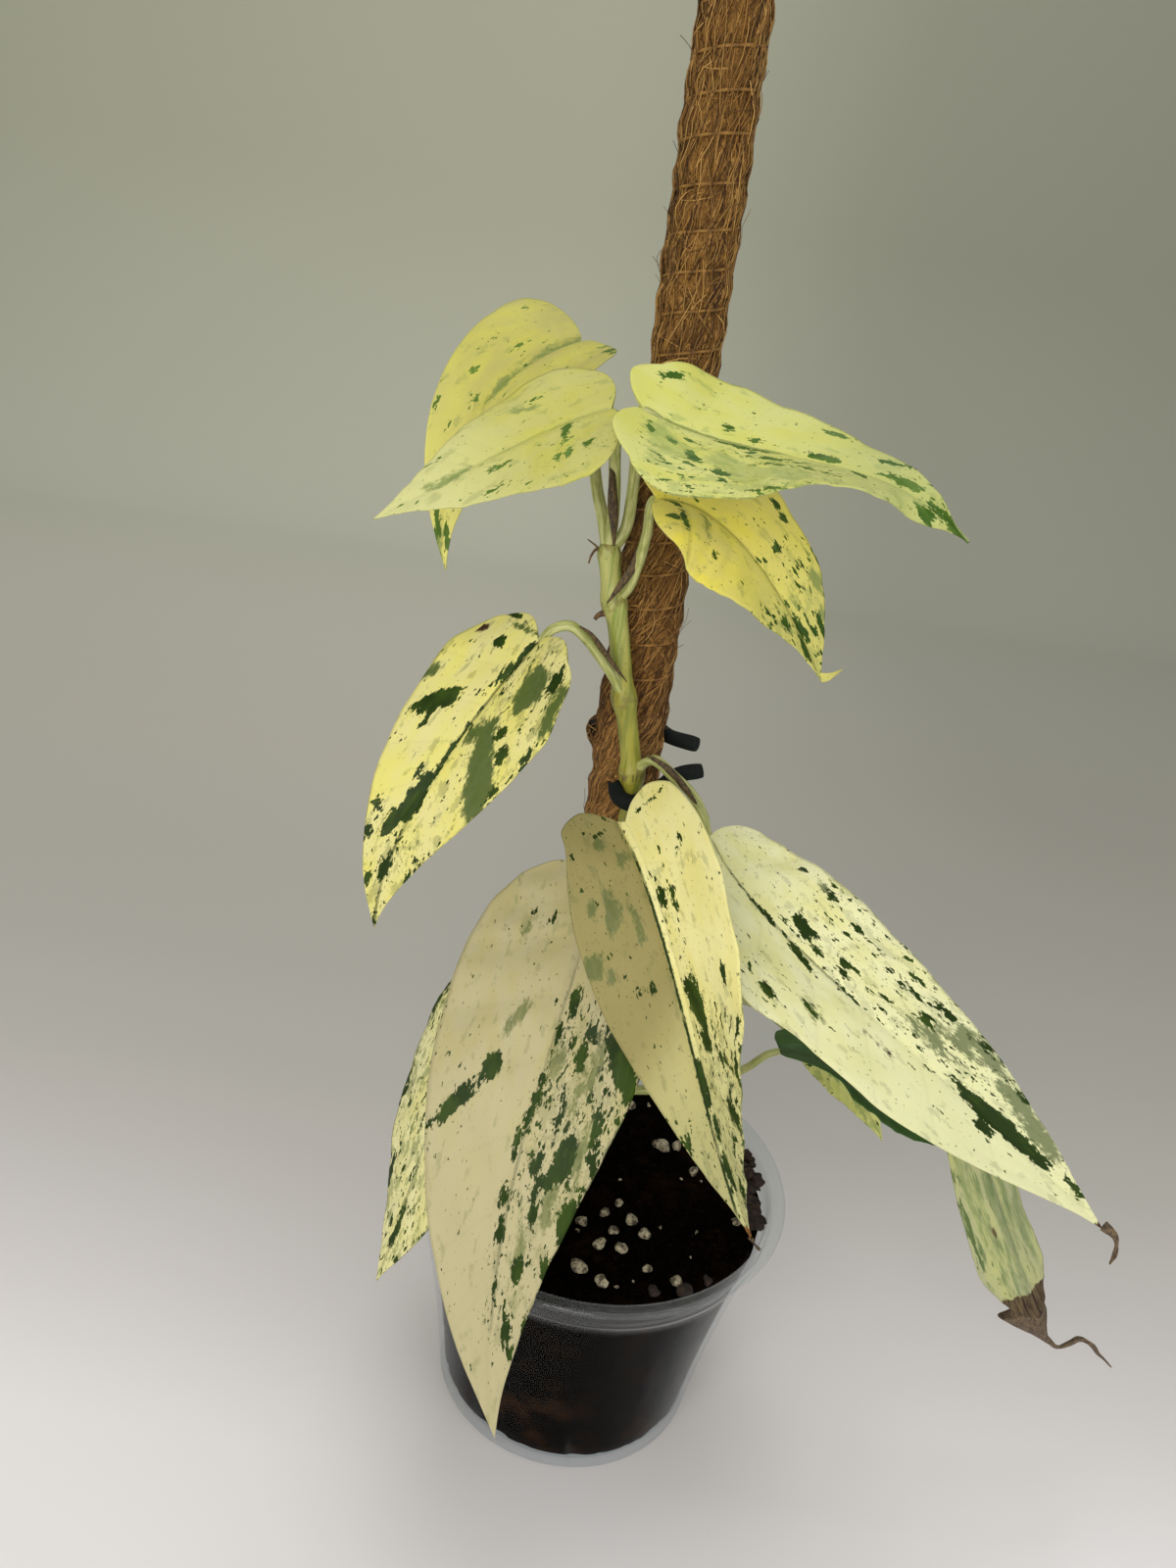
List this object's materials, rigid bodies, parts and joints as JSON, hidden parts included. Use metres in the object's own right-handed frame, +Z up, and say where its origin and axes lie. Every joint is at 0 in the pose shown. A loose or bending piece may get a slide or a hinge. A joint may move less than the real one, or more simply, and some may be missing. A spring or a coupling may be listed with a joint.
{
  "type": "potted climbing plant",
  "caption": "Young variegated climbing aroid with drooping heart-based leaves, tied to a twine-bound coir pole in a clear plastic nursery pot filled with potting mix.",
  "frame": {"origin": "middle of the pot's flat base", "axes": "+Z up the pole, -Y towards the side that the leaves face, +X to the right seen from that side"},
  "size_m": [0.1872, 0.1053, 0.335],
  "materials": {
    "clear_pot": "gloss",
    "mix": "matte",
    "rod": "matte",
    "coir": "matte",
    "twine": "matte",
    "tie": "matte",
    "stem": "satin",
    "leaf_yellow": "satin",
    "leaf_cream": "satin",
    "leaf_green": "satin",
    "leaf_pale_green": "satin",
    "dry_sheath": "matte"
  },
  "bodies": {
    "root": {"pot": "clear_pot", "potting_mix": "mix", "pole_core": "rod", "pole_coir": "coir", "pole_twine_lower": "twine", "pole_twine_upper": "twine", "soft_tie": "tie", "stem": "stem", "leaf_top_back": "leaf_yellow", "leaf_top_front": "leaf_yellow", "leaf_top_right": "leaf_yellow", "leaf_mid_right": "leaf_yellow", "leaf_mid_left": "leaf_yellow", "leaf_front": "leaf_cream", "leaf_front_left": "leaf_cream", "leaf_behind_left": "leaf_cream", "leaf_right": "leaf_cream", "leaf_dark": "leaf_green", "leaf_small": "leaf_yellow", "leaf_drooping": "leaf_pale_green", "sheath_top": "dry_sheath", "sheath_mid_right": "dry_sheath", "sheath_mid_left": "dry_sheath", "sheath_right": "dry_sheath"}
  },
  "joints": []
}
